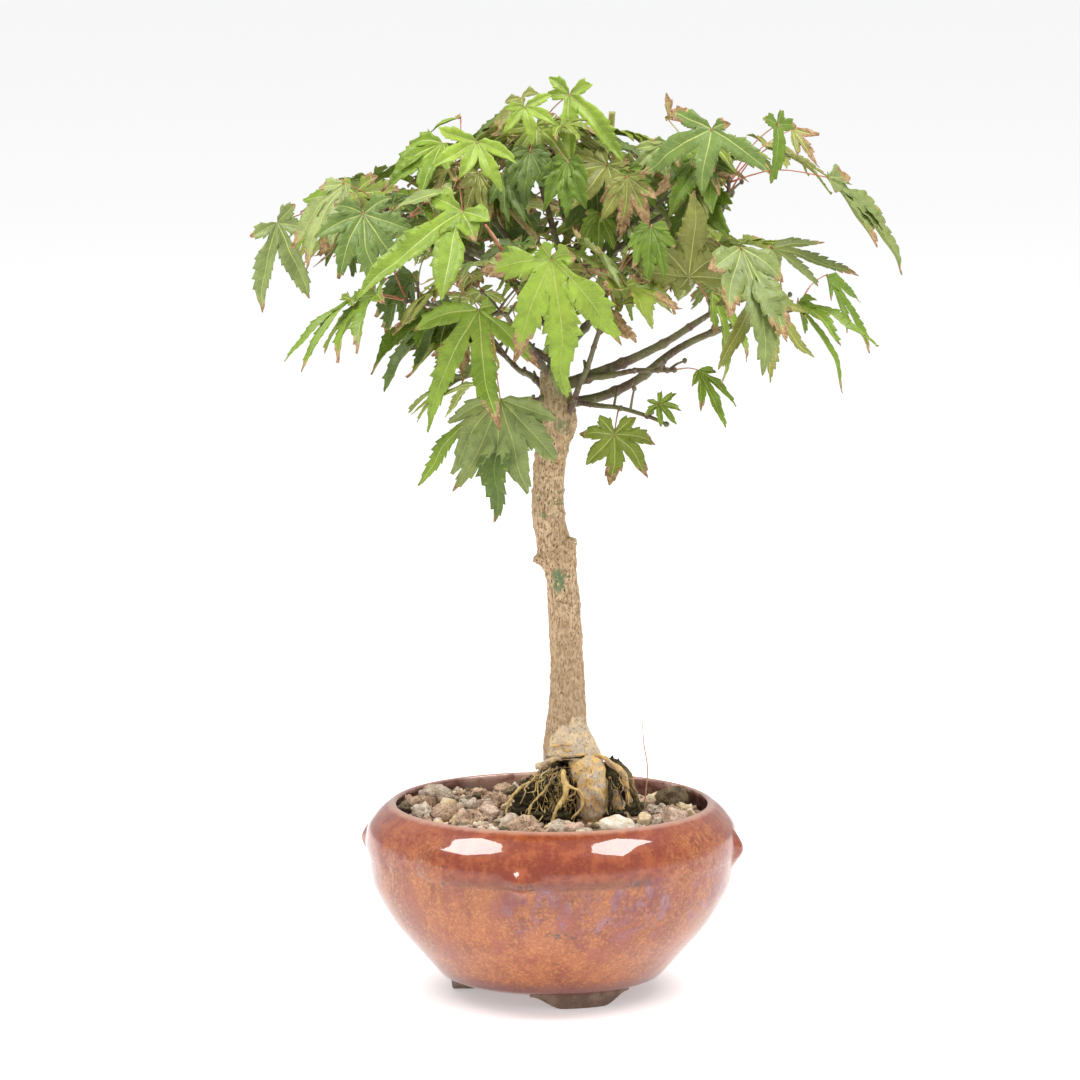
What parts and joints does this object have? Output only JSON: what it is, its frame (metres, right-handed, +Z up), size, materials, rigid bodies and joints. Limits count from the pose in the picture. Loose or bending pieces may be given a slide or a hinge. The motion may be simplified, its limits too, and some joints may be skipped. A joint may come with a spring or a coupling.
{
  "type": "potted bonsai maple",
  "caption": "Bonsai maple with lobed green leaves on a bare leaning trunk, in a round glazed bowl on small feet, filled with stony soil.",
  "frame": {"origin": "bottom centre of the whole plant and pot, at table level", "axes": "+Z up along the trunk, -Y towards the tree's front, +X to its right as seen from the front"},
  "size_m": [0.2644, 0.1872, 0.3733],
  "materials": {
    "glaze": "glossy copper-brown glaze",
    "clay": "matte bare clay",
    "soil": "matte gravel",
    "bark": "matte bark",
    "bough": "satin bark",
    "foliage": "satin leaf"
  },
  "bodies": {
    "root": {"pot": "glaze", "foot_front": "clay", "foot_left": "clay", "foot_back": "clay", "soil": "soil", "trunk": "bark", "leader": "bough", "bough_right_upper": "bough", "bough_right_lower": "bough", "bough_riser": "bough", "bough_right_low": "bough", "bough_left_low": "bough", "bough_back_low": "bough", "bough_right_front": "bough", "bough_front_left": "bough", "bough_left": "bough", "bough_back_right": "bough", "bough_back_left": "bough", "bough_front": "bough", "bough_left_far": "bough", "bough_right_far": "bough", "bough_left_back": "bough", "bough_top_left": "bough", "bough_right_back": "bough", "bough_top_right": "bough", "bough_back_top": "bough", "bough_top": "bough", "foliage_crown": "foliage", "foliage_right_upper": "foliage", "foliage_right_lower": "foliage", "foliage_riser": "foliage", "foliage_right_low": "foliage", "foliage_left_low": "foliage", "foliage_back_low": "foliage", "foliage_right_front": "foliage", "foliage_front_left": "foliage", "foliage_left": "foliage", "foliage_back_right": "foliage", "foliage_back_left": "foliage", "foliage_front": "foliage", "foliage_left_far": "foliage", "foliage_right_far": "foliage", "foliage_left_back": "foliage", "foliage_top_left": "foliage", "foliage_right_back": "foliage", "foliage_top_right": "foliage", "foliage_back_top": "foliage", "foliage_top": "foliage"}
  },
  "joints": []
}
